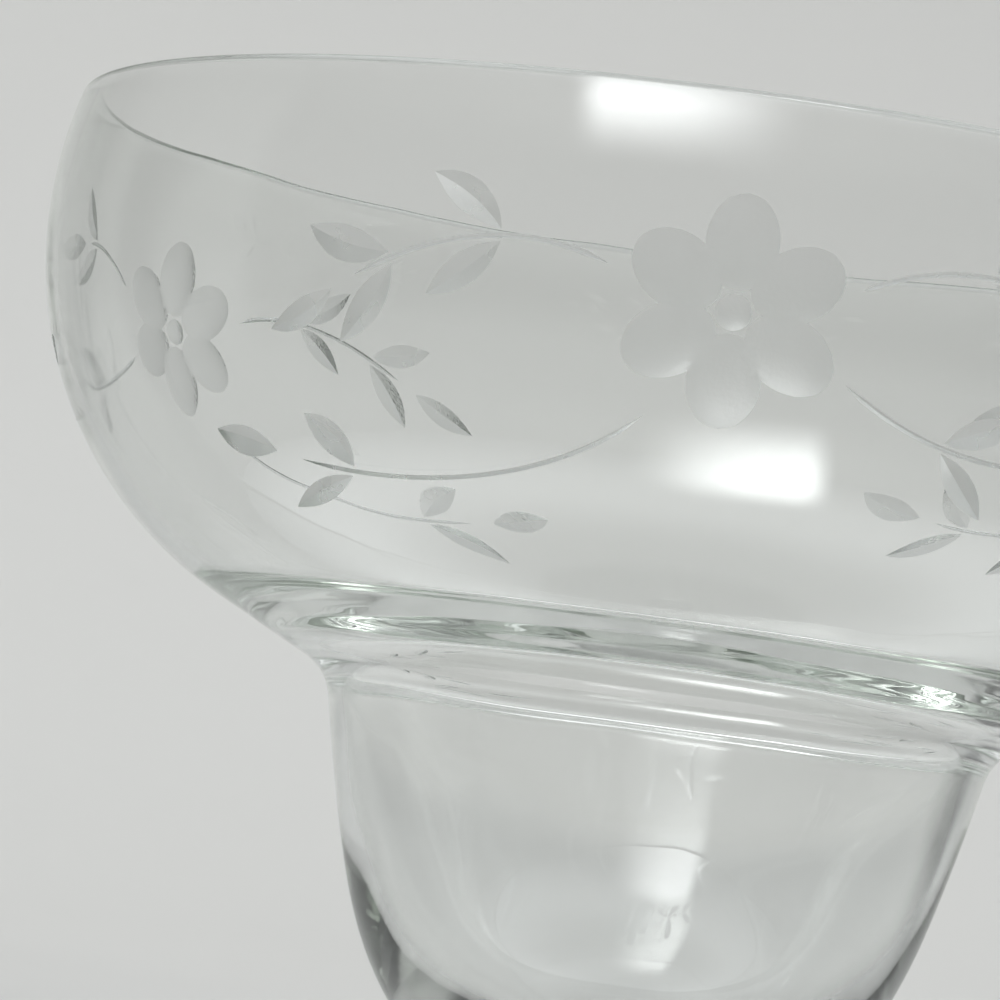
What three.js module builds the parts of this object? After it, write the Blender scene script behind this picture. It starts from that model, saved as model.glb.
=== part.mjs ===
import * as THREE from "three";

// Margarita glass: a bowl blown in one with its well, a drawn stem and a pressed foot.
// Millimetres, +Z up, the glass stands on z = 0 with its axis on Z.

// Foot
const FOOT_RADIUS = 38;
const FOOT_EDGE = 2.6;
const FOOT_HEIGHT = 16;
const FOOT_SLOPE = degrees(6);
const FOOT_NECK_RADIUS = 5.8;
const FOOT_NECK_RUN = 9;
const FOOT_SPREAD_RUN = 20;
const REST_WIDTH = 6;
const HOLLOW_RISE = 1.8;

// Stem
const STEM_LENGTH = 70;
const STEM_RADIUS = 4.4;
const STEM_WAIST_HEIGHT = 30;

// Neck under the bowl, where the stem is fused on
const BOWL_NECK_RADIUS = 5.4;
const NECK_FILLET = 5.8;

// Well, the small cup under the waist
const WELL_DEPTH = 32.8;
const WELL_BASE_RISE = degrees(20);
const WELL_BASE_RUN = 14.4;
const WELL_WALL_RUN = 14.5;
const WELL_LEAN = degrees(12);
const WELL_WALL = 1.3;
const WELL_FLOOR = 4.8;
const WELL_INSIDE_RUN = 20.5;
const WELL_FLOOR_RUN = 16.5;

// Waist, the thick ring between the well and the bowl
const WAIST_RADIUS = 28.2;
const WAIST_FILLET = 4.4;
const WAIST_MOUTH_ROUND = 4.5;
const FLOOR_RISE = 7.5;
const FLOOR_ANGLE = degrees(7.5);
const FLOOR_FILLET = 5;

// Bowl
const RIM_RADIUS = 56;
const BELLY_RADIUS = 57.4;
const BELLY_DROP = 10;
const BELLY_CURVE = 33.9;
const SHOULDER_ANGLE = degrees(26.8);
const BOWL_WALL = 1.2;

const ROUND_STEPS = 64;

function degrees(angle) {
  return angle * Math.PI / 180;
}

function point(radius, height) {
  return new THREE.Vector2(radius, height);
}

// The point that lies a distance away from another at an angle above the outward direction
function away(from, distance, angle) {
  return point(from.x + distance * Math.cos(angle), from.y + distance * Math.sin(angle));
}

// The point where two lines cross
function meet(start, angle, otherStart, otherAngle) {
  const gap = otherStart.clone().sub(start);
  const along = gap.x * Math.sin(otherAngle) - gap.y * Math.cos(otherAngle);
  return away(start, along / Math.sin(otherAngle - angle), angle);
}

// The point where a line leaves a circle
function crossing(start, angle, centre, radius) {
  const toCentre = centre.clone().sub(start);
  const along = toCentre.dot(away(point(0, 0), 1, angle));
  const reach = Math.sqrt(radius ** 2 - toCentre.lengthSq() + along ** 2);
  return away(start, along + reach, angle);
}

function arc(centre, radius, start, end) {
  return new THREE.EllipseCurve(centre.x, centre.y, radius, radius, start, end, start > end);
}

function bend(start, startHandle, endHandle, end) {
  return new THREE.CubicBezierCurve(start, startHandle, endHandle, end);
}

// An outline is a list of points and [curve, steps] pairs in order, from the axis back to the axis
function outline(stretches) {
  const points = [];
  for (const stretch of stretches) {
    const added = Array.isArray(stretch) ? stretch[0].getPoints(stretch[1]) : [stretch];
    for (const next of added) {
      const last = points[points.length - 1];
      if (!last || last.distanceTo(next) > 1e-6) {
        points.push(next);
      }
    }
  }
  return points;
}

function turned(name, stretches, colour) {
  const geometry = new THREE.LatheGeometry(outline(stretches), ROUND_STEPS);
  geometry.rotateX(Math.PI / 2);
  const material = new THREE.MeshStandardMaterial({ color: colour, roughness: 0.03, metalness: 0 });
  const mesh = new THREE.Mesh(geometry, material);
  mesh.name = name;
  return mesh;
}

// Foot: stands on a flat ring, is hollowed slightly inside it and sweeps up to the neck
const footEdgeRound = FOOT_EDGE / 2;
const footEdgeCentre = point(FOOT_RADIUS - footEdgeRound, footEdgeRound);
const footEdgeTop = away(footEdgeCentre, footEdgeRound, Math.PI / 2 - FOOT_SLOPE);
const footNeck = point(FOOT_NECK_RADIUS, FOOT_HEIGHT);
const restInside = footEdgeCentre.x - REST_WIDTH;
const hollowCurve = (restInside ** 2 + HOLLOW_RISE ** 2) / (2 * HOLLOW_RISE);
const hollowCentre = point(0, HOLLOW_RISE - hollowCurve);
const hollowStart = Math.atan2(-hollowCentre.y, restInside);
const footSweep = bend(
  footEdgeTop,
  away(footEdgeTop, FOOT_SPREAD_RUN, Math.PI - FOOT_SLOPE),
  away(footNeck, FOOT_NECK_RUN, -Math.PI / 2),
  footNeck
);
const foot = turned("foot", [
  [arc(hollowCentre, hollowCurve, Math.PI / 2, hollowStart), 4],
  [arc(footEdgeCentre, footEdgeRound, -Math.PI / 2, Math.PI / 2 - FOOT_SLOPE), 6],
  [footSweep, 10],
  point(0, FOOT_HEIGHT),
], 0xdce6e2);

// Stem: drawn out to a slim middle between its two fused ends
const stemTop = FOOT_HEIGHT + STEM_LENGTH;
const stemWaist = point(STEM_RADIUS, FOOT_HEIGHT + STEM_WAIST_HEIGHT);
const stemHead = point(BOWL_NECK_RADIUS, stemTop);
function drawn(from, to) {
  const middle = (from.y + to.y) / 2;
  return bend(from, point(from.x, middle), point(to.x, middle), to);
}
const stem = turned("stem", [
  point(0, FOOT_HEIGHT),
  [drawn(footNeck, stemWaist), 6],
  [drawn(stemWaist, stemHead), 6],
  point(0, stemTop),
], 0xdde7e3);

// Outside of the well: a rounded neck on the stem, a full base and a leaning wall up to the waist
const neckCentre = point(BOWL_NECK_RADIUS + NECK_FILLET, stemTop);
const neckTop = away(neckCentre, NECK_FILLET, Math.PI / 2 + WELL_BASE_RISE);
const waist = point(WAIST_RADIUS, neckTop.y + WELL_DEPTH);
const wallUp = Math.PI / 2 - WELL_LEAN;
const wellOutside = bend(
  neckTop,
  away(neckTop, WELL_BASE_RUN, WELL_BASE_RISE),
  away(waist, WELL_WALL_RUN, wallUp + Math.PI),
  waist
);

// Outside of the bowl: the waist's fillet, a straight shoulder and two arcs that meet at the belly
const waistCentre = away(waist, WAIST_FILLET, wallUp - Math.PI / 2);
const shoulderFoot = away(waistCentre, WAIST_FILLET, SHOULDER_ANGLE + Math.PI / 2);
const bellyCentreRadius = BELLY_RADIUS - BELLY_CURVE;
const shoulderTopRadius = bellyCentreRadius + BELLY_CURVE * Math.sin(SHOULDER_ANGLE);
const shoulderRise = (shoulderTopRadius - shoulderFoot.x) * Math.tan(SHOULDER_ANGLE);
const bellyHeight = shoulderFoot.y + shoulderRise + BELLY_CURVE * Math.cos(SHOULDER_ANGLE);
const bellyCentre = point(bellyCentreRadius, bellyHeight);
const rimInset = BELLY_RADIUS - RIM_RADIUS;
const rimCurve = (BELLY_DROP ** 2 + rimInset ** 2) / (2 * rimInset);
const rimAngle = Math.asin(BELLY_DROP / rimCurve);
const rimCentre = point(BELLY_RADIUS - rimCurve, bellyHeight);
const lipRound = BOWL_WALL / 2;
const lipCentre = away(rimCentre, rimCurve - lipRound, rimAngle);

// Inside of the bowl: it keeps to the outside down to a fillet and then runs in as a flatter floor,
// so that the glass thickens from there to the waist
const insideCurve = BELLY_CURVE - BOWL_WALL;
const floorStart = point(WAIST_RADIUS, waist.y + FLOOR_RISE);
const filletCurve = insideCurve - FLOOR_FILLET;
const filletLine = away(floorStart, FLOOR_FILLET, FLOOR_ANGLE + Math.PI / 2);
const shoulderLine = away(bellyCentre, filletCurve, SHOULDER_ANGLE - Math.PI / 2);
const filletOnShoulder = meet(filletLine, FLOOR_ANGLE, shoulderLine, SHOULDER_ANGLE);

// A high floor meets the belly's arc, and a low one the straight shoulder
const meetsArc = filletOnShoulder.x > shoulderLine.x;
const filletOnArc = crossing(filletLine, FLOOR_ANGLE, bellyCentre, filletCurve);
const arcTurn = Math.atan2(filletOnArc.y - bellyCentre.y, filletOnArc.x - bellyCentre.x);
const filletCentre = meetsArc ? filletOnArc : filletOnShoulder;
const filletTurn = meetsArc ? arcTurn : SHOULDER_ANGLE - Math.PI / 2;

// The floor's line and the line of the well's inside wall cross at the mouth, which is rounded off
const wellTop = point(WAIST_RADIUS - WELL_WALL / Math.cos(WELL_LEAN), waist.y);
const mouth = meet(floorStart, FLOOR_ANGLE, wellTop, wallUp);
const mouthTurn = wallUp - FLOOR_ANGLE;
const mouthBack = WAIST_MOUTH_ROUND * Math.tan(mouthTurn / 2);
const mouthWall = away(mouth, mouthBack, wallUp + Math.PI);
const mouthCentre = away(mouthWall, WAIST_MOUTH_ROUND, wallUp - Math.PI / 2);
const wellFloor = point(0, neckTop.y + WELL_FLOOR);
const wellInside = bend(
  wellTop,
  away(wellTop, WELL_INSIDE_RUN, wallUp + Math.PI),
  point(WELL_FLOOR_RUN, wellFloor.y),
  wellFloor
);

const bowl = turned("bowl", [
  point(0, stemTop),
  [arc(neckCentre, NECK_FILLET, Math.PI, Math.PI / 2 + WELL_BASE_RISE), 3],
  [wellOutside, 8],
  [arc(waistCentre, WAIST_FILLET, wallUp + Math.PI / 2, SHOULDER_ANGLE + Math.PI / 2), 4],
  [arc(bellyCentre, BELLY_CURVE, SHOULDER_ANGLE - Math.PI / 2, 0), 8],
  [arc(rimCentre, rimCurve, 0, rimAngle), 3],
  [arc(lipCentre, lipRound, rimAngle, rimAngle + Math.PI), 4],
  [arc(rimCentre, rimCurve - BOWL_WALL, rimAngle, 0), 3],
  [arc(bellyCentre, insideCurve, 0, filletTurn), 8],
  [arc(filletCentre, FLOOR_FILLET, filletTurn, FLOOR_ANGLE - Math.PI / 2), 2],
  [arc(mouthCentre, WAIST_MOUTH_ROUND, FLOOR_ANGLE + Math.PI / 2, wallUp + Math.PI / 2), 4],
  [wellInside, 9],
], 0xdce6e2);

const glass = new THREE.Group();
glass.name = "margarita_glass";
glass.add(bowl, stem, foot);

export default glass;
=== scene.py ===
import math
import random

import bmesh
import bpy
from mathutils import Matrix, Vector, noise
from mathutils.bvhtree import BVHTree
from mathutils.interpolate import poly_3d_calc


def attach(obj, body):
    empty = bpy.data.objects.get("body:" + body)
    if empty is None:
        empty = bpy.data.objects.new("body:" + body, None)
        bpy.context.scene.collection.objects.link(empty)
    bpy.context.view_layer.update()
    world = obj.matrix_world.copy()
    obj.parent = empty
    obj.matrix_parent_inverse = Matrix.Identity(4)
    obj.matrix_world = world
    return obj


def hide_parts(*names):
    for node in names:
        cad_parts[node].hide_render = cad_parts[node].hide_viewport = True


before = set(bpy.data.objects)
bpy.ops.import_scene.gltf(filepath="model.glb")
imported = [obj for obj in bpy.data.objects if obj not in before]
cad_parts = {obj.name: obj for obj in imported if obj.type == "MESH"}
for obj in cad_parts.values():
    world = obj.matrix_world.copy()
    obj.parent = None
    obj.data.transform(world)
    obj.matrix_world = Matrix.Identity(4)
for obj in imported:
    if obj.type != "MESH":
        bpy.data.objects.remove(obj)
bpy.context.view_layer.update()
scene = bpy.context.scene
scene.view_settings.view_transform = "Standard"

# Camera: a long lens close to the glass and a little below its rim, so that it looks up into the
# bowl. It leans to one side, which tips the glass over to the right in the picture.
camera = bpy.data.objects.new("camera", bpy.data.cameras.new("camera"))
scene.collection.objects.link(camera)
camera.data.sensor_width = 36
camera.data.lens = 162
camera.data.clip_start = 0.01
camera_place = (0, -0.3856, 0.1205)
camera_pitch = math.radians(3.3)
camera_yaw = math.radians(-2.365)
camera_roll = math.radians(7.9)
camera.matrix_world = (
    Matrix.Translation(camera_place)
    @ Matrix.Rotation(-camera_yaw, 4, "Z")
    @ Matrix.Rotation(math.pi / 2 + camera_pitch, 4, "X")
    @ Matrix.Rotation(camera_roll, 4, "Z")
)
scene.camera = camera


# Floor: a sheet of pale matt paper, swept up into a low wall all round so that no edge shows
# behind the glass. Further out and low down it is painted dark in front and in one band at the back
# right: painted shade, as dark as black cards would be, so that the edges of the glass read.
class Value:
    """A socket in a material, so that shader maths reads as sums."""

    def __init__(self, finish, socket):
        self.finish = finish
        self.socket = socket

    def maths(self, operation, first, second):
        return self.finish.node("ShaderNodeMath", {"operation": operation}, {0: first, 1: second})

    def __add__(self, other):
        return self.maths("ADD", self, other)

    __radd__ = __add__

    def __sub__(self, other):
        return self.maths("SUBTRACT", self, other)

    def __rsub__(self, other):
        return self.maths("SUBTRACT", other, self)

    def __mul__(self, other):
        return self.maths("MULTIPLY", self, other)

    __rmul__ = __mul__


class Finish:
    """A node tree being filled: node() adds one node and gives back one of its outputs."""

    def __init__(self, owner):
        self.owner = owner
        owner.use_nodes = True
        self.tree = owner.node_tree
        self.tree.nodes.clear()

    def node(self, kind, settings, sockets, output=0):
        added = self.tree.nodes.new(kind)
        for name, value in settings.items():
            setattr(added, name, value)
        for name, value in sockets.items():
            if isinstance(value, Value):
                self.tree.links.new(value.socket, added.inputs[name])
            else:
                added.inputs[name].default_value = value
        return Value(self, added.outputs[output]) if added.outputs else None

    def fade(self, value, start, end):
        """From 0 at start to 1 at end, with soft ends; start may lie above end."""
        return self.node(
            "ShaderNodeMapRange",
            {"interpolation_type": "SMOOTHSTEP"},
            {"Value": value, "From Min": start, "From Max": end},
        )


paper = Finish(bpy.data.materials.new("pale_paper"))
paper_place = paper.node("ShaderNodeTexCoord", {}, {}, "Object")
paper_fibre = paper.node("ShaderNodeTexNoise", {}, {"Vector": paper_place, "Scale": 900.0, "Detail": 4.0})
paper_cloud = paper.node("ShaderNodeTexNoise", {}, {"Vector": paper_place, "Scale": 1.3, "Detail": 2.0})
PAPER_DULL = (0.67, 0.67, 0.652, 1)
PAPER_PALE = (0.73, 0.73, 0.712, 1)
# The dark colour of the painted shade on the paper
PAINTED_SHADE = (0.08, 0.08, 0.08, 1)
paper_pale = paper.node(
    "ShaderNodeMix",
    {"data_type": "RGBA"},
    {0: paper_cloud, 6: PAPER_DULL, 7: PAPER_PALE},
    2,
)
paper_x = paper.node("ShaderNodeSeparateXYZ", {}, {"Vector": paper_place}, "X")
paper_y = paper.node("ShaderNodeSeparateXYZ", {}, {"Vector": paper_place}, "Y")
paper_z = paper.node("ShaderNodeSeparateXYZ", {}, {"Vector": paper_place}, "Z")
paper_off = paper.node("ShaderNodeMath", {"operation": "ABSOLUTE"}, {0: paper_x})
paper_turn = paper.node("ShaderNodeMath", {"operation": "ARCTAN2"}, {0: paper_off, 1: paper_y})
paper_reach = paper.node(
    "ShaderNodeMath",
    {"operation": "SQRT"},
    {0: paper_x * paper_x + paper_y * paper_y},
)
# Turns are measured from straight behind the glass
paper_back = paper.fade(paper_turn, math.radians(33), math.radians(42))
paper_side = paper.fade(paper_turn, math.radians(50), math.radians(60))
paper_front = paper.fade(paper_turn, math.radians(92), math.radians(102))
paper_right = paper.fade(paper_x, 0.0, 0.2)
paper_far = paper.fade(paper_reach, 0.25, 0.6)
paper_low = paper.fade(paper_z, 2.2, 1.0)
# Painted shade: where this mask is 1 the pale paper takes the dark colour
paper_painted_shade = ((paper_back - paper_side) * paper_right + paper_front) * paper_far * paper_low
paper_with_painted_shade = paper.node(
    "ShaderNodeMix",
    {"data_type": "RGBA"},
    {0: paper_painted_shade, 6: paper_pale, 7: PAINTED_SHADE},
    2,
)
paper_grain = paper.node(
    "ShaderNodeBump",
    {},
    {"Strength": 0.05, "Distance": 0.0002, "Height": paper_fibre},
)
paper_surface = paper.node(
    "ShaderNodeBsdfPrincipled",
    {},
    {"Base Color": paper_with_painted_shade, "Roughness": 0.85, "Normal": paper_grain},
)
paper.node("ShaderNodeOutputMaterial", {}, {"Surface": paper_surface})

SWEEP_RADIUS = 3.0
SWEEP_CORNER = 0.9
SWEEP_HEIGHT = 2.6
SWEEP_LEVEL = -0.00015  # a hair under the foot, so that light reaches the paper through the glass
sweep_mesh = bpy.data.meshes.new("floor")
shape = bmesh.new()
sweep_corners = ((0, 0, SWEEP_LEVEL), (SWEEP_RADIUS, 0, SWEEP_LEVEL), (SWEEP_RADIUS, 0, SWEEP_HEIGHT))
sweep_line = [shape.verts.new(corner) for corner in sweep_corners]
for pair in zip(sweep_line, sweep_line[1:]):
    shape.edges.new(pair)
bmesh.ops.bevel(
    shape,
    geom=[sweep_line[1]],
    offset=SWEEP_CORNER,
    offset_type="OFFSET",
    affect="VERTICES",
    segments=16,
    profile=0.5,
    material=-1,
)
bmesh.ops.spin(
    shape,
    geom=shape.verts[:] + shape.edges[:],
    cent=(0, 0, 0),
    axis=(0, 0, 1),
    angle=math.tau,
    steps=96,
    use_merge=True,
)
bmesh.ops.remove_doubles(shape, verts=shape.verts, dist=1e-6)
bmesh.ops.recalc_face_normals(shape, faces=shape.faces)
for face in shape.faces:
    face.smooth = True
shape.to_mesh(sweep_mesh)
shape.free()
floor = bpy.data.objects.new("floor", sweep_mesh)
scene.collection.objects.link(floor)
sweep_mesh.materials.append(paper.owner)

# Light: a soft ring of pale sky above the low wall, a pool of light on the wall behind the glass, and
# a window-like panel behind the camera that gives the glass its highlights. Light crosses the thick
# waist by many reflections inside the glass, so its paths are long.
PATH_LENGTH = 128
scene.cycles.max_bounces = PATH_LENGTH
scene.cycles.glossy_bounces = PATH_LENGTH
scene.cycles.transmission_bounces = PATH_LENGTH

room = Finish(bpy.data.worlds.new("room"))
room_way = room.node("ShaderNodeTexCoord", {}, {}, "Generated")
room_up = room.node("ShaderNodeSeparateXYZ", {}, {"Vector": room_way}, "Z")
ROOM_DIM = 0.14
SKY_RING = 1.45
ZENITH_DROP = 1.3
room_ring = room.fade(room_up, 0.55, 0.8)
room_zenith = room.fade(room_up, 0.82, 0.98)
room_strength = ROOM_DIM + SKY_RING * room_ring - ZENITH_DROP * room_zenith
room_light = room.node(
    "ShaderNodeBackground",
    {},
    {"Color": (0.96, 0.98, 1, 1), "Strength": room_strength},
)
room.node("ShaderNodeOutputWorld", {}, {"Surface": room_light})
scene.world = room.owner

WASH_PLACE = Vector((-0.3, 0.7, 2.4))
WASH_TARGET = Vector((-0.1, 3.0, 1.0))
wash = bpy.data.objects.new("wall_wash", bpy.data.lights.new("wall_wash", "SPOT"))
wash.data.energy = 107
wash.data.spot_size = math.radians(110)
wash.data.spot_blend = 1.0
wash.data.shadow_soft_size = 0.15
wash.location = WASH_PLACE
wash.rotation_euler = (WASH_TARGET - WASH_PLACE).to_track_quat("-Z", "Y").to_euler()
scene.collection.objects.link(wash)

PANEL_WIDTH = 1.25
PANEL_HEIGHT = 1.2
PANEL_GLOW = 11.0
PANEL_DISTANCE = 1.9
PANEL_AIM = Vector((0, 0, 0.15))
panel_turn = math.radians(-9)
panel_rise = math.radians(37)
panel = Finish(bpy.data.materials.new("window_panel"))
panel_place = panel.node("ShaderNodeTexCoord", {}, {}, "Object")
panel_across = panel.node("ShaderNodeSeparateXYZ", {}, {"Vector": panel_place}, "X")
panel_up = panel.node("ShaderNodeSeparateXYZ", {}, {"Vector": panel_place}, "Y")
panel_tall = panel.fade(panel_up, -0.6, 0.2) * panel.fade(panel_up, 0.6, 0.25)
panel_wide = panel.fade(panel_across, -0.62, 0.25) * panel.fade(panel_across, 0.62, 0.4)
# See-through where it doesn't glow, so that its outline isn't mirrored as a dark frame
panel_clear = panel.node("ShaderNodeBsdfTransparent", {}, {"Color": (1, 1, 1, 1)})
panel_glow = panel.node("ShaderNodeEmission", {}, {"Color": (0.97, 0.99, 1, 1), "Strength": PANEL_GLOW})
panel_light = panel.node(
    "ShaderNodeMixShader",
    {},
    {0: panel_tall * panel_wide, 1: panel_clear, 2: panel_glow},
)
panel.node("ShaderNodeOutputMaterial", {}, {"Surface": panel_light})
panel_mesh = bpy.data.meshes.new("window_panel")
shape = bmesh.new()
bmesh.ops.create_grid(shape, x_segments=1, y_segments=1, size=0.5)
bmesh.ops.scale(shape, vec=(PANEL_WIDTH, PANEL_HEIGHT, 1), verts=shape.verts)
shape.to_mesh(panel_mesh)
shape.free()
panel_mesh.materials.append(panel.owner)
window_panel = bpy.data.objects.new("window_panel", panel_mesh)
window_panel.location = PANEL_AIM + PANEL_DISTANCE * Vector((
    math.sin(panel_turn) * math.cos(panel_rise),
    -math.cos(panel_turn) * math.cos(panel_rise),
    math.sin(panel_rise),
))
window_panel.rotation_euler = (PANEL_AIM - window_panel.location).to_track_quat("Z", "Y").to_euler()
scene.collection.objects.link(window_panel)

# Bowl: the wide bowl and the narrow well under it, blown as one gather of clear glass. The wall is
# thin at the fire-polished lip and thick at the waist, and a short solid neck takes the stem.
MM = 0.001
FOOT_HEIGHT = 16 * MM
STEM_LENGTH = 70 * MM
BOWL_NECK_RADIUS = 5.4 * MM
NECK_FILLET = 5.8 * MM
WELL_DEPTH = 32.8 * MM
WELL_BASE_RISE = math.radians(20)
WELL_BASE_RUN = 14.4 * MM
WELL_WALL_RUN = 14.5 * MM
WELL_LEAN = math.radians(12)
WELL_WALL = 1.3 * MM
WELL_FLOOR = 4.8 * MM
WELL_INSIDE_RUN = 20.5 * MM
WELL_FLOOR_RUN = 16.5 * MM
WAIST_RADIUS = 28.2 * MM
WAIST_FILLET = 4.4 * MM
WAIST_MOUTH_ROUND = 4.5 * MM
RIM_RADIUS = 56 * MM
BELLY_RADIUS = 57.4 * MM
BELLY_DROP = 10 * MM
BELLY_CURVE = 33.9 * MM
SHOULDER_ANGLE = math.radians(26.8)
BOWL_WALL = 1.2 * MM
FLOOR_RISE = 7.5 * MM
FLOOR_ANGLE = math.radians(7.5)
FLOOR_FILLET = 5 * MM
FLOOR_STEPS = 16
ROUND_STEPS = 256


def away(start, distance, angle):
    return start + distance * Vector((math.cos(angle), math.sin(angle)))


def arc(centre, radius, start, end, steps):
    return [away(centre, radius, start + (end - start) * i / steps) for i in range(steps + 1)]


def bend_at(points, t):
    start, start_handle, end_handle, end = points
    back = 1 - t
    return back**3 * start + 3 * back**2 * t * start_handle + 3 * back * t**2 * end_handle + t**3 * end


def bend(start, start_handle, end_handle, end, steps):
    return [bend_at((start, start_handle, end_handle, end), i / steps) for i in range(steps + 1)]


def crossing(start, angle, centre, radius):
    """Where a line leaves a circle."""
    way = away(Vector((0, 0)), 1, angle)
    along = way.dot(centre - start)
    off = (centre - start - along * way).length
    return away(start, along + math.sqrt(radius**2 - off**2), angle)


def turned(name, outline):
    """A closed body of revolution round the axis, with no doubled points and faces pointing out."""
    mesh = bpy.data.meshes.new(name)
    body = bmesh.new()
    line = [body.verts.new((p.x, 0, p.y)) for p in outline]
    for pair in zip(line, line[1:]):
        body.edges.new(pair)
    bmesh.ops.remove_doubles(body, verts=body.verts, dist=1e-7)
    bmesh.ops.spin(
        body,
        geom=body.verts[:] + body.edges[:],
        cent=(0, 0, 0),
        axis=(0, 0, 1),
        angle=math.tau,
        steps=ROUND_STEPS,
        use_merge=True,
    )
    bmesh.ops.remove_doubles(body, verts=body.verts, dist=1e-7)
    bmesh.ops.recalc_face_normals(body, faces=body.faces)
    for face in body.faces:
        face.smooth = True
    body.to_mesh(mesh)
    body.free()
    mesh.set_sharp_from_angle(angle=math.radians(50))
    piece = bpy.data.objects.new(name, mesh)
    scene.collection.objects.link(piece)
    return piece


stem_top = FOOT_HEIGHT + STEM_LENGTH
neck_centre = Vector((BOWL_NECK_RADIUS + NECK_FILLET, stem_top))
neck_top = away(neck_centre, NECK_FILLET, math.pi / 2 + WELL_BASE_RISE)
waist = Vector((WAIST_RADIUS, neck_top.y + WELL_DEPTH))
wall_up = math.pi / 2 - WELL_LEAN
waist_centre = away(waist, WAIST_FILLET, wall_up - math.pi / 2)
shoulder_foot = away(waist_centre, WAIST_FILLET, SHOULDER_ANGLE + math.pi / 2)
shoulder_top_radius = BELLY_RADIUS - BELLY_CURVE + BELLY_CURVE * math.sin(SHOULDER_ANGLE)
shoulder_rise = (shoulder_top_radius - shoulder_foot.x) * math.tan(SHOULDER_ANGLE)
belly_height = shoulder_foot.y + shoulder_rise + BELLY_CURVE * math.cos(SHOULDER_ANGLE)
belly_centre = Vector((BELLY_RADIUS - BELLY_CURVE, belly_height))
rim_inset = BELLY_RADIUS - RIM_RADIUS
rim_curve = (BELLY_DROP**2 + rim_inset**2) / (2 * rim_inset)
rim_angle = math.asin(BELLY_DROP / rim_curve)
rim_centre = Vector((BELLY_RADIUS - rim_curve, belly_height))
lip_centre = away(rim_centre, rim_curve - BOWL_WALL / 2, rim_angle)
inside_curve = BELLY_CURVE - BOWL_WALL
floor_start = Vector((WAIST_RADIUS, waist.y + FLOOR_RISE))
fillet_start = away(floor_start, FLOOR_FILLET, FLOOR_ANGLE + math.pi / 2)
fillet_centre = crossing(fillet_start, FLOOR_ANGLE, belly_centre, inside_curve - FLOOR_FILLET)
fillet_turn = math.atan2(fillet_centre.y - belly_centre.y, fillet_centre.x - belly_centre.x)
well_top = Vector((WAIST_RADIUS - WELL_WALL / math.cos(WELL_LEAN), waist.y))
well_tilt = math.tan(WELL_LEAN)
floor_tilt = math.tan(FLOOR_ANGLE)
mouth_rise = FLOOR_RISE - (WAIST_RADIUS - well_top.x) * floor_tilt
mouth_height = mouth_rise / (1 - well_tilt * floor_tilt)
mouth = Vector((well_top.x + mouth_height * well_tilt, waist.y + mouth_height))
mouth_back = WAIST_MOUTH_ROUND * math.tan((wall_up - FLOOR_ANGLE) / 2)
mouth_wall = away(mouth, mouth_back, wall_up + math.pi)
mouth_centre = away(mouth_wall, WAIST_MOUTH_ROUND, wall_up - math.pi / 2)
mouth_floor = away(mouth, mouth_back, FLOOR_ANGLE)
floor_end = away(fillet_centre, FLOOR_FILLET, FLOOR_ANGLE - math.pi / 2)
well_floor = Vector((0, neck_top.y + WELL_FLOOR))

bowl_outline = (
    [Vector((0, stem_top))]
    + arc(neck_centre, NECK_FILLET, math.pi, math.pi / 2 + WELL_BASE_RISE, 10)
    + bend(
        neck_top,
        away(neck_top, WELL_BASE_RUN, WELL_BASE_RISE),
        away(waist, WELL_WALL_RUN, wall_up + math.pi),
        waist,
        30,
    )
    + arc(waist_centre, WAIST_FILLET, wall_up + math.pi / 2, SHOULDER_ANGLE + math.pi / 2, 12)
    + arc(belly_centre, BELLY_CURVE, SHOULDER_ANGLE - math.pi / 2, 0, 36)
    + arc(rim_centre, rim_curve, 0, rim_angle, 10)
    + arc(lip_centre, BOWL_WALL / 2, rim_angle, rim_angle + math.pi, 12)
    + arc(rim_centre, rim_curve - BOWL_WALL, rim_angle, 0, 10)
    + arc(belly_centre, inside_curve, 0, fillet_turn, 36)
    + arc(fillet_centre, FLOOR_FILLET, fillet_turn, FLOOR_ANGLE - math.pi / 2, 10)
    + [floor_end.lerp(mouth_floor, i / FLOOR_STEPS) for i in range(1, FLOOR_STEPS)]
    + arc(mouth_centre, WAIST_MOUTH_ROUND, FLOOR_ANGLE + math.pi / 2, wall_up + math.pi / 2, 14)
    + bend(
        well_top,
        away(well_top, WELL_INSIDE_RUN, wall_up + math.pi),
        Vector((WELL_FLOOR_RUN, well_floor.y)),
        well_floor,
        32,
    )
)
bowl = turned("bowl", bowl_outline)

# Glass shaped by hand is never quite true: slow ripples run over it, and fine rings lie round the
# waist, where the tool squeezed the turning glass in.
RIPPLE = 0.02 * MM
WELL_RIPPLE = 0.12 * MM
RIPPLES_PER_METRE = 90
GROOVE = 0.06 * MM
GROOVES_PER_METRE = 500
GROOVE_BREAKS_PER_METRE = 40
WAIST_REACH = 7 * MM
normals = [v.normal.copy() for v in bowl.data.vertices]
for vertex, normal in zip(bowl.data.vertices, normals):
    place = vertex.co
    if place.z > stem_top + MM:
        reach = math.hypot(place.x, place.y)
        off = math.hypot(reach - mouth.x, place.z - mouth.y) / WAIST_REACH
        deep = min(1, max(0, (mouth.y - place.z) / WAIST_REACH))
        slow = (RIPPLE + (WELL_RIPPLE - RIPPLE) * deep) * noise.noise(place * RIPPLES_PER_METRE)
        along = GROOVE_BREAKS_PER_METRE * place.xy
        across = GROOVES_PER_METRE * (reach + place.z)
        fine = GROOVE * noise.noise(Vector((along.x, along.y, across))) * math.exp(-off * off)
        vertex.co = place + normal * (slow + fine)

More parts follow.
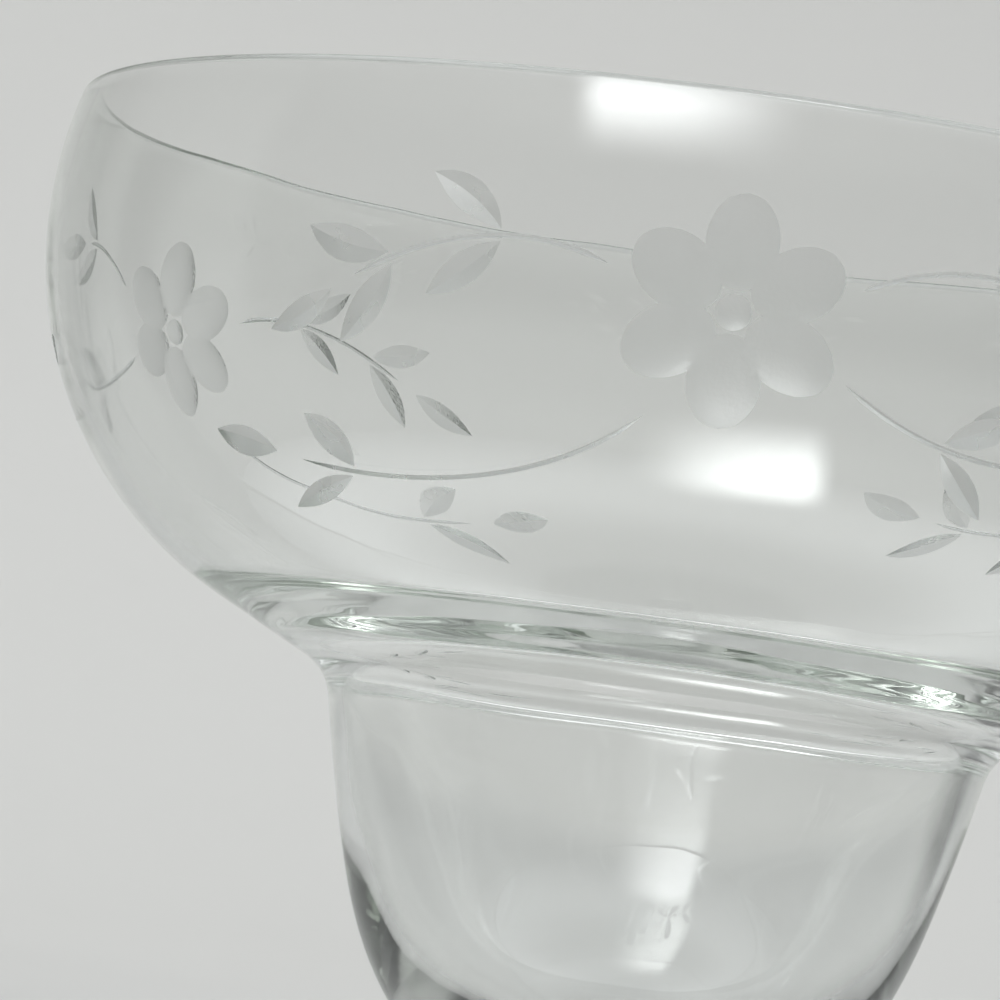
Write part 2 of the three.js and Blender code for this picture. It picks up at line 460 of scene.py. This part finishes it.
clear = Finish(bpy.data.materials.new("clear_glass"))
clear_place = clear.node("ShaderNodeTexCoord", {}, {}, "Object")
clear_wave = clear.node("ShaderNodeTexNoise", {}, {"Vector": clear_place, "Scale": 70.0, "Detail": 1.5})
clear_bump = clear.node("ShaderNodeBump", {}, {"Strength": 0.12, "Distance": 0.0004, "Height": clear_wave})
clear_film = clear.node("ShaderNodeTexNoise", {}, {"Vector": clear_place, "Scale": 28.0, "Detail": 6.0})
clear_rough = clear.node(
    "ShaderNodeMapRange",
    {},
    {"Value": clear_film, "From Min": 0.45, "From Max": 0.8, "To Min": 0.0, "To Max": 0.05},
)
clear_surface = clear.node(
    "ShaderNodeBsdfGlass",
    {},
    {"Color": (0.9745, 0.9785, 0.974, 1), "Roughness": clear_rough, "IOR": 1.5, "Normal": clear_bump},
)
clear.node("ShaderNodeOutputMaterial", {}, {"Surface": clear_surface})
bowl.data.materials.append(clear.owner)

# Where two pieces are melted together there is no surface between them
fused = Finish(bpy.data.materials.new("fused_joint"))
fused_nothing = fused.node("ShaderNodeBsdfTransparent", {}, {"Color": (1, 1, 1, 1)})
fused.node("ShaderNodeOutputMaterial", {}, {"Surface": fused_nothing})


def fuse(piece, height):
    piece.data.materials.append(fused.owner)
    for polygon in piece.data.polygons:
        if all(abs(piece.data.vertices[i].co.z - height) < 1e-6 for i in polygon.vertices):
            polygon.material_index = len(piece.data.materials) - 1


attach(bowl, "root")
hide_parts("bowl")

# Cut ornament: blossoms with leafy stalks round the bowl, ground into the glass on a wheel and left grey,
# a grey deepened by painted shade. Leaves and stalks are V cuts with a crease along the middle; petals are
# shallow round dishes.
BLOSSOMS = 3
BLOSSOM_TURN = math.radians(1.5)
BLOSSOM_DROP = 6.3 * MM
PETALS = 6
PETAL_RING = 5.2 * MM
PETAL_LENGTH = 7.4 * MM
PETAL_WIDTH = 5.6 * MM
PETAL_DEPTH = 0.25 * MM
HEART_WIDTH = 2.8 * MM
HEART_DEPTH = 0.2 * MM
LEAF_LENGTH = 7.2 * MM
LEAF_WIDTH = 2.5 * MM
LEAF_DEPTH = 0.42 * MM
LEAF_SPREAD = math.radians(36)
LEAF_GROWTH = (0.88, 1.06)
LEAF_BOW = 0.5 * MM
LEAF_GAP = 0.7 * MM
LEAF_OVERRUN = 0.06
STALK_WIDTH = 0.42 * MM
STALK_DEPTH = 0.16 * MM
STALK_RUN_OUT = 14
STALK_TIP_LIFT = 0.6
DISH_LIFT = 1.5
CUT_LIFT = 0.3 * MM
chance = random.Random(7)


def ground(name, shade, smooth, rough):
    """Glass as a grinding wheel leaves it, between these two roughnesses, in a darkened colour that is
    partly painted shade.
    """
    finish = Finish(bpy.data.materials.new(name))
    place = finish.node("ShaderNodeTexCoord", {}, {}, "Object")
    grit = finish.node("ShaderNodeTexNoise", {}, {"Vector": place, "Scale": 2600.0, "Detail": 3.0})
    bump = finish.node("ShaderNodeBump", {}, {"Strength": 0.15, "Distance": 0.0001, "Height": grit})
    patch = finish.node("ShaderNodeTexNoise", {}, {"Vector": place, "Scale": 300.0, "Detail": 2.0})
    roughness = finish.node(
        "ShaderNodeMapRange",
        {},
        {"Value": patch, "From Min": 0.3, "From Max": 0.7, "To Min": smooth, "To Max": rough},
    )
    surface = finish.node(
        "ShaderNodeBsdfPrincipled",
        {},
        {
            "Base Color": shade,
            "Roughness": roughness,
            "IOR": 1.5,
            "Transmission Weight": 1.0,
            "Normal": bump,
        },
    )
    finish.node("ShaderNodeOutputMaterial", {}, {"Surface": surface})
    return finish.owner


# Both cut colours are darker than the clear glass: partly the grey of a ground surface, partly painted
# shade for the dimness that matt cuts show against dark surroundings.
grey_cut_with_painted_shade = ground("grey_cut_with_painted_shade", (0.72, 0.735, 0.725, 1), 0.24, 0.36)
satin_cut_with_painted_shade = ground("satin_cut_with_painted_shade", (0.82, 0.83, 0.82, 1), 0.3, 0.42)


def on_bowl(turn, across, down, lift):
    """A place on the bowl's outside, measured along the glass from a point on the belly line."""
    curve, centre = (BELLY_CURVE, belly_centre) if down > 0 else (rim_curve, rim_centre)
    line = away(centre, curve, -down / curve)
    spot = away(centre, curve + lift, -down / curve)
    angle = turn + across / line.x
    return Vector((spot.x * math.sin(angle), -spot.x * math.cos(angle), spot.y))


def v_cut(shape, turn, path, width, depth, profile, cuts):
    """A wedge along a path on the glass; profile gives its depth there as a share of the whole depth."""
    wedge = bmesh.new()
    bmesh.ops.create_cone(wedge, cap_ends=True, segments=3, radius1=1, radius2=1, depth=1)
    long_edges = [e for e in wedge.edges if abs(e.verts[0].co.z - e.verts[1].co.z) > 0.5]
    bmesh.ops.subdivide_edges(wedge, edges=long_edges, cuts=cuts, use_grid_fill=True)
    for vertex in wedge.verts:
        along = vertex.co.z + 0.5
        side = 0 if vertex.co.y > 0 else math.copysign(1, vertex.co.x)
        middle = path(along)
        heading = (path(along + 0.01) - path(along - 0.01)).normalized()
        sunk = depth * profile(along)
        reach = side * width / (2 * depth) * (sunk + CUT_LIFT)
        spot = middle + reach * Vector((-heading.y, heading.x))
        vertex.co = on_bowl(turn, spot.x, BLOSSOM_DROP + spot.y, CUT_LIFT if side else -sunk)
    wedge_mesh = bpy.data.meshes.new("wedge")
    wedge.to_mesh(wedge_mesh)
    wedge.free()
    shape.from_mesh(wedge_mesh)
    bpy.data.meshes.remove(wedge_mesh)


def leaf(shape, turn, base, heading):
    """A bowed V cut, deepest in the middle; the wedge runs on a little past both tips."""
    grown = chance.uniform(*LEAF_GROWTH)
    bow = chance.uniform(-LEAF_BOW, LEAF_BOW)
    way = Vector((math.cos(heading), math.sin(heading)))
    side = Vector((-way.y, way.x))

    def share(t):
        return (1 + 2 * LEAF_OVERRUN) * t - LEAF_OVERRUN

    def path(t):
        along = share(t)
        return base + way * (LEAF_GAP + LEAF_LENGTH * grown * along) + side * bow * 4 * along * (1 - along)

    def profile(t):
        return 1 - (2 * share(t) - 1) ** 2

    v_cut(shape, turn, path, LEAF_WIDTH * grown, LEAF_DEPTH, profile, 10)


def stalk(shape, turn, points):
    """A thin V cut of even depth that runs out at both ends."""

    def path(t):
        return bend_at(points, t)

    def profile(t):
        return min(1, STALK_RUN_OUT * min(t, 1 - t) - STALK_TIP_LIFT)

    v_cut(shape, turn, path, STALK_WIDTH, STALK_DEPTH, profile, 22)


def dish(shape, turn, centre, heading, length, width, depth):
    """A round-wheel cut: the cap of a flat ball that dips under the glass."""
    rise = DISH_LIFT * depth
    deep = rise + depth
    spread = 1 / math.sqrt(1 - (rise / deep) ** 2)
    way = Vector((math.cos(heading), math.sin(heading)))
    side = Vector((-way.y, way.x))
    ball = bmesh.ops.create_uvsphere(shape, u_segments=28, v_segments=16, radius=1)["verts"]
    for vertex in ball:
        place = vertex.co.copy()
        spot = centre + way * place.x * spread * length / 2 + side * place.y * spread * width / 2
        vertex.co = on_bowl(turn, spot.x, BLOSSOM_DROP + spot.y, rise + place.z * deep)


# Each stalk: its two ends and their handles, across and down from the blossom's heart in millimetres,
# and the shares of its length where pairs of leaves stand
STALKS = (
    ((8.7, -2.6), (13, -5), (17, -6), (23, -5), (0.75,)),
    ((8.2, 3.6), (14, 8), (22, 10), (32, 7), (0.42, 0.8)),
    ((-8.7, -2), (-15, -5), (-23, -4), (-31, 1), (0.42, 0.8)),
    ((-4.6, 7.6), (-11, 15), (-22, 18), (-35, 15), (0.8,)),
)
leaves = [bmesh.new(), bmesh.new()]
petals = [bmesh.new(), bmesh.new()]
stalks = bmesh.new()
for k in range(BLOSSOMS):
    turn = BLOSSOM_TURN + k * math.tau / BLOSSOMS
    for i in range(PETALS):
        around = (i + 0.5) * math.tau / PETALS
        middle = away(Vector((0, 0)), PETAL_RING, around)
        dish(petals[i % 2], turn, middle, around, PETAL_LENGTH, PETAL_WIDTH, PETAL_DEPTH)
    dish(petals[0], turn, Vector((0, 0)), 0, HEART_WIDTH, HEART_WIDTH, HEART_DEPTH)
    for *ends, pairs in STALKS:
        points = [MM * Vector(end) for end in ends]
        stalk(stalks, turn, points)
        for t in pairs:
            base = bend_at(points, t)
            along = bend_at(points, t + 0.01) - base
            heading = math.atan2(along.y, along.x)
            leaf(leaves[0], turn, base, heading + LEAF_SPREAD)
            leaf(leaves[1], turn, base, heading - LEAF_SPREAD)
        along = points[3] - points[2]
        leaf(leaves[0], turn, points[3], math.atan2(along.y, along.x))

whole = bowl.data.copy()
whole_tree = BVHTree.FromPolygons([v.co for v in whole.vertices], [p.vertices[:] for p in whole.polygons])
for name, cutter_shape, smooth, finish in (
    ("leaves", leaves[0], False, grey_cut_with_painted_shade),
    ("leaves_facing", leaves[1], False, grey_cut_with_painted_shade),
    ("petals", petals[0], True, satin_cut_with_painted_shade),
    ("petals_between", petals[1], True, satin_cut_with_painted_shade),
    ("stalks", stalks, False, grey_cut_with_painted_shade),
):
    bmesh.ops.recalc_face_normals(cutter_shape, faces=cutter_shape.faces)
    for face in cutter_shape.faces:
        face.smooth = smooth
    cutter_mesh = bpy.data.meshes.new(name)
    cutter_shape.to_mesh(cutter_mesh)
    cutter_shape.free()
    cutter_mesh.materials.append(finish)
    cutter = bpy.data.objects.new(name, cutter_mesh)
    scene.collection.objects.link(cutter)
    cutting = bowl.modifiers.new(name, "BOOLEAN")
    cutting.operation = "DIFFERENCE"
    cutting.solver = "MANIFOLD"
    cutting.material_mode = "TRANSFER"
    cutting.object = cutter
    cut_mesh = bpy.data.meshes.new_from_object(bowl.evaluated_get(bpy.context.evaluated_depsgraph_get()))
    bowl.modifiers.clear()
    bowl.data = cut_mesh
    bpy.data.objects.remove(cutter)

# The clear glass between the cuts keeps the shading of the uncut bowl, and the cuts have crisp edges.
# Corners left at zero keep their own normals.
clear_slots = {i for i, m in enumerate(bowl.data.materials) if m == clear.owner}
shading = {}
loop_normals = [Vector((0, 0, 0))] * len(bowl.data.loops)
edge_kind = {}
for polygon in bowl.data.polygons:
    is_clear = polygon.material_index in clear_slots
    for key in polygon.edge_keys:
        edge_kind.setdefault(key, set()).add(is_clear)
    if is_clear and polygon.center.z > waist.y:
        for loop in polygon.loop_indices:
            index = bowl.data.loops[loop].vertex_index
            if index not in shading:
                near, _, number, _ = whole_tree.find_nearest(bowl.data.vertices[index].co)
                corners = whole.polygons[number].vertices
                shares = poly_3d_calc([whole.vertices[c].co for c in corners], near)
                shading[index] = sum(
                    (whole.vertices[c].normal * share for c, share in zip(corners, shares)), Vector()
                ).normalized()
            loop_normals[loop] = shading[index]
for edge in bowl.data.edges:
    if len(edge_kind[edge.key]) == 2:
        edge.use_edge_sharp = True
bowl.data.normals_split_custom_set(loop_normals)
fuse(bowl, stem_top)

# Stem: a solid rod of the same glass, drawn out hot to a slim middle and fused to the bowl's neck
# above and to the foot below.
STEM_RADIUS = 4.4 * MM
STEM_WAIST_HEIGHT = 30 * MM
FOOT_NECK_RADIUS = 5.8 * MM


def drawn(start, end, steps):
    middle = (start.y + end.y) / 2
    return bend(start, Vector((start.x, middle)), Vector((end.x, middle)), end, steps)


foot_neck = Vector((FOOT_NECK_RADIUS, FOOT_HEIGHT))
stem_waist = Vector((STEM_RADIUS, FOOT_HEIGHT + STEM_WAIST_HEIGHT))
stem_head = Vector((BOWL_NECK_RADIUS, stem_top))
stem = turned(
    "stem",
    [Vector((0, FOOT_HEIGHT))]
    + drawn(foot_neck, stem_waist, 24)
    + drawn(stem_waist, stem_head, 24)
    + [Vector((0, stem_top))],
)
stem.data.materials.append(clear.owner)
fuse(stem, FOOT_HEIGHT)
fuse(stem, stem_top)
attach(stem, "root")
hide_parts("stem")

# Foot: a pressed disc of the same glass with a rounded edge, swept up to the neck that the stem is
# fused on. It stands on a flat ring, and its underside is slightly hollow.
FOOT_RADIUS = 38 * MM
FOOT_EDGE = 2.6 * MM
FOOT_SLOPE = math.radians(6)
FOOT_NECK_RUN = 9 * MM
FOOT_SPREAD_RUN = 20 * MM
REST_WIDTH = 6 * MM
HOLLOW_RISE = 1.8 * MM
foot_edge_centre = Vector((FOOT_RADIUS - FOOT_EDGE / 2, FOOT_EDGE / 2))
foot_edge_top = away(foot_edge_centre, FOOT_EDGE / 2, math.pi / 2 - FOOT_SLOPE)
rest_inside = foot_edge_centre.x - REST_WIDTH
hollow_curve = (rest_inside**2 + HOLLOW_RISE**2) / (2 * HOLLOW_RISE)
hollow_centre = Vector((0, HOLLOW_RISE - hollow_curve))
hollow_start = math.atan2(-hollow_centre.y, rest_inside)
foot = turned(
    "foot",
    arc(hollow_centre, hollow_curve, math.pi / 2, hollow_start, 12)
    + arc(foot_edge_centre, FOOT_EDGE / 2, -math.pi / 2, math.pi / 2 - FOOT_SLOPE, 14)
    + bend(
        foot_edge_top,
        away(foot_edge_top, FOOT_SPREAD_RUN, math.pi - FOOT_SLOPE),
        away(foot_neck, FOOT_NECK_RUN, -math.pi / 2),
        foot_neck,
        36,
    )
    + [Vector((0, FOOT_HEIGHT))],
)
foot.data.materials.append(clear.owner)
fuse(foot, FOOT_HEIGHT)
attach(foot, "root")
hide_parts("foot")
